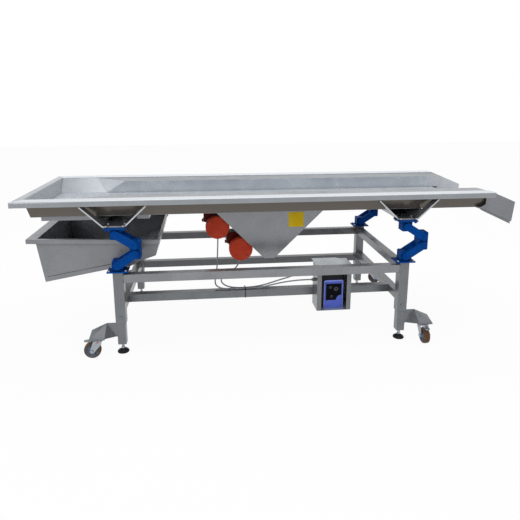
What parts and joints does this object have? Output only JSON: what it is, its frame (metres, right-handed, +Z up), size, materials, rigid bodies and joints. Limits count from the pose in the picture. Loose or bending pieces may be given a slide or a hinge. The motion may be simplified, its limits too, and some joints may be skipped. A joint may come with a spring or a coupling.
{
  "type": "vibrating sorting table",
  "caption": "Long stainless trough on rubber oscillating mounts and a tube frame, shaken by unbalance motors, with a catch bin and a discharge chute.",
  "frame": {"origin": "on the floor, under the middle of the bounding box", "axes": "+X towards the discharge chute, +Y from the control side to the rear, +Z up"},
  "size_m": [3.045, 1.206, 0.95],
  "materials": {
    "stainless_sheet": "satin",
    "stainless_tube": "satin",
    "mount_blue": "gloss",
    "motor_body": "satin",
    "motor_cover": "satin",
    "black_plastic": "matte",
    "cable_grey": "satin",
    "zinc_steel": "satin",
    "caster_tread": "matte"
  },
  "bodies": {
    "frame": {"front_upper_rail": "stainless_tube", "rear_upper_rail": "stainless_tube", "front_lower_rail": "stainless_tube", "rear_lower_rail": "stainless_tube", "left_end_rails": "stainless_tube", "right_end_rails": "stainless_tube", "catch_bin": "stainless_sheet", "control_hood": "stainless_tube", "drive_unit": "black_plastic", "leg_front_left": "stainless_tube", "leg_front_right": "stainless_tube", "leg_rear_left": "stainless_tube", "leg_rear_right": "stainless_tube", "leg_extensions": "stainless_tube", "levelling_feet": "black_plastic", "mount_bases": "mount_blue", "caster_brackets": "stainless_tube", "cable_upper_motor": "cable_grey", "cable_lower_motor": "cable_grey", "cable_tie": "black_plastic"},
    "tray": {"front_rim": "stainless_sheet", "rear_rim": "stainless_sheet", "infeed_rim": "stainless_sheet", "front_guide": "stainless_sheet", "rear_guide": "stainless_sheet", "screen_floor": "stainless_sheet", "screen_deck": "stainless_sheet", "bottom_pan": "stainless_sheet", "fines_collar": "stainless_sheet", "discharge_chute": "stainless_sheet", "cradle_left": "stainless_sheet", "cradle_right": "stainless_sheet", "drive_bracket": "stainless_sheet", "vibrator_upper": "motor_body", "vibrator_lower": "motor_body", "motor_covers": "motor_cover", "mount_tops": "mount_blue"},
    "lower_link_front_left": {"lower_link_front_left": "mount_blue"},
    "upper_link_front_left": {"upper_link_front_left": "mount_blue"},
    "lower_link_front_right": {"lower_link_front_right": "mount_blue"},
    "upper_link_front_right": {"upper_link_front_right": "mount_blue"},
    "lower_link_rear_left": {"lower_link_rear_left": "mount_blue"},
    "upper_link_rear_left": {"upper_link_rear_left": "mount_blue"},
    "lower_link_rear_right": {"lower_link_rear_right": "mount_blue"},
    "upper_link_rear_right": {"upper_link_rear_right": "mount_blue"},
    "caster_fork_front_left": {"caster_fork_front_left": "zinc_steel"},
    "caster_wheel_front_left": {"caster_wheel_front_left": "caster_tread"},
    "caster_fork_front_right": {"caster_fork_front_right": "zinc_steel"},
    "caster_wheel_front_right": {"caster_wheel_front_right": "caster_tread"},
    "caster_fork_rear_left": {"caster_fork_rear_left": "zinc_steel"},
    "caster_wheel_rear_left": {"caster_wheel_rear_left": "caster_tread"},
    "caster_fork_rear_right": {"caster_fork_rear_right": "zinc_steel"},
    "caster_wheel_rear_right": {"caster_wheel_rear_right": "caster_tread"}
  },
  "joints": [
    {"name": "tray_throw", "type": "slide", "parent": "frame", "child": "tray", "axis": [0.7071, 0, 0.7071], "range_m": [-0.004, 0.004], "stiffness_N_per_m": 119030, "springref_m": 0.01952},
    {"name": "lower_link_front_left_pivot", "type": "hinge", "parent": "frame", "child": "lower_link_front_left", "pos_m": [-0.9575, -0.457, 0.559], "axis": [0, 1, 0], "range_deg": [-0.5, 0.5]},
    {"name": "upper_link_front_left_pivot", "type": "hinge", "parent": "lower_link_front_left", "child": "upper_link_front_left", "pos_m": [-0.8505, -0.457, 0.68], "axis": [0, 1, 0], "range_deg": [-2, 2]},
    {"name": "lower_link_front_right_pivot", "type": "hinge", "parent": "frame", "child": "lower_link_front_right", "pos_m": [0.7885, -0.457, 0.559], "axis": [0, 1, 0], "range_deg": [-0.5, 0.5]},
    {"name": "upper_link_front_right_pivot", "type": "hinge", "parent": "lower_link_front_right", "child": "upper_link_front_right", "pos_m": [0.8955, -0.457, 0.68], "axis": [0, 1, 0], "range_deg": [-2, 2]},
    {"name": "lower_link_rear_left_pivot", "type": "hinge", "parent": "frame", "child": "lower_link_rear_left", "pos_m": [-0.9575, 0.457, 0.559], "axis": [0, 1, 0], "range_deg": [-0.5, 0.5]},
    {"name": "upper_link_rear_left_pivot", "type": "hinge", "parent": "lower_link_rear_left", "child": "upper_link_rear_left", "pos_m": [-0.8505, 0.457, 0.68], "axis": [0, 1, 0], "range_deg": [-2, 2]},
    {"name": "lower_link_rear_right_pivot", "type": "hinge", "parent": "frame", "child": "lower_link_rear_right", "pos_m": [0.7885, 0.457, 0.559], "axis": [0, 1, 0], "range_deg": [-0.5, 0.5]},
    {"name": "upper_link_rear_right_pivot", "type": "hinge", "parent": "lower_link_rear_right", "child": "upper_link_rear_right", "pos_m": [0.8955, 0.457, 0.68], "axis": [0, 1, 0], "range_deg": [-2, 2]},
    {"name": "caster_swivel_front_left", "type": "hinge", "parent": "frame", "child": "caster_fork_front_left", "pos_m": [-1.0895, -0.518, 0.12], "axis": [0, 0, 1], "continuous": true},
    {"name": "caster_spin_front_left", "type": "hinge", "parent": "caster_fork_front_left", "child": "caster_wheel_front_left", "pos_m": [-1.1245, -0.518, 0.053], "axis": [0, 1, 0], "continuous": true},
    {"name": "caster_swivel_front_right", "type": "hinge", "parent": "frame", "child": "caster_fork_front_right", "pos_m": [0.9205, -0.518, 0.12], "axis": [0, 0, 1], "continuous": true},
    {"name": "caster_spin_front_right", "type": "hinge", "parent": "caster_fork_front_right", "child": "caster_wheel_front_right", "pos_m": [0.9205, -0.553, 0.053], "axis": [1, 0, 0], "continuous": true},
    {"name": "caster_swivel_rear_left", "type": "hinge", "parent": "frame", "child": "caster_fork_rear_left", "pos_m": [-1.0895, 0.518, 0.12], "axis": [0, 0, 1], "continuous": true},
    {"name": "caster_spin_rear_left", "type": "hinge", "parent": "caster_fork_rear_left", "child": "caster_wheel_rear_left", "pos_m": [-1.0895, 0.553, 0.053], "axis": [1, 0, 0], "continuous": true},
    {"name": "caster_swivel_rear_right", "type": "hinge", "parent": "frame", "child": "caster_fork_rear_right", "pos_m": [0.9205, 0.518, 0.12], "axis": [0, 0, 1], "continuous": true},
    {"name": "caster_spin_rear_right", "type": "hinge", "parent": "caster_fork_rear_right", "child": "caster_wheel_rear_right", "pos_m": [0.9555, 0.518, 0.053], "axis": [0, 1, 0], "continuous": true}
  ],
  "couplings": [
    {"joint": "lower_link_front_left_pivot", "follows": "tray_throw", "rad_per_m": 1.3217},
    {"joint": "upper_link_front_left_pivot", "follows": "tray_throw", "rad_per_m": 6.6085},
    {"joint": "lower_link_front_right_pivot", "follows": "tray_throw", "rad_per_m": 1.3217},
    {"joint": "upper_link_front_right_pivot", "follows": "tray_throw", "rad_per_m": 6.6085},
    {"joint": "lower_link_rear_left_pivot", "follows": "tray_throw", "rad_per_m": 1.3217},
    {"joint": "upper_link_rear_left_pivot", "follows": "tray_throw", "rad_per_m": 6.6085},
    {"joint": "lower_link_rear_right_pivot", "follows": "tray_throw", "rad_per_m": 1.3217},
    {"joint": "upper_link_rear_right_pivot", "follows": "tray_throw", "rad_per_m": 6.6085}
  ]
}
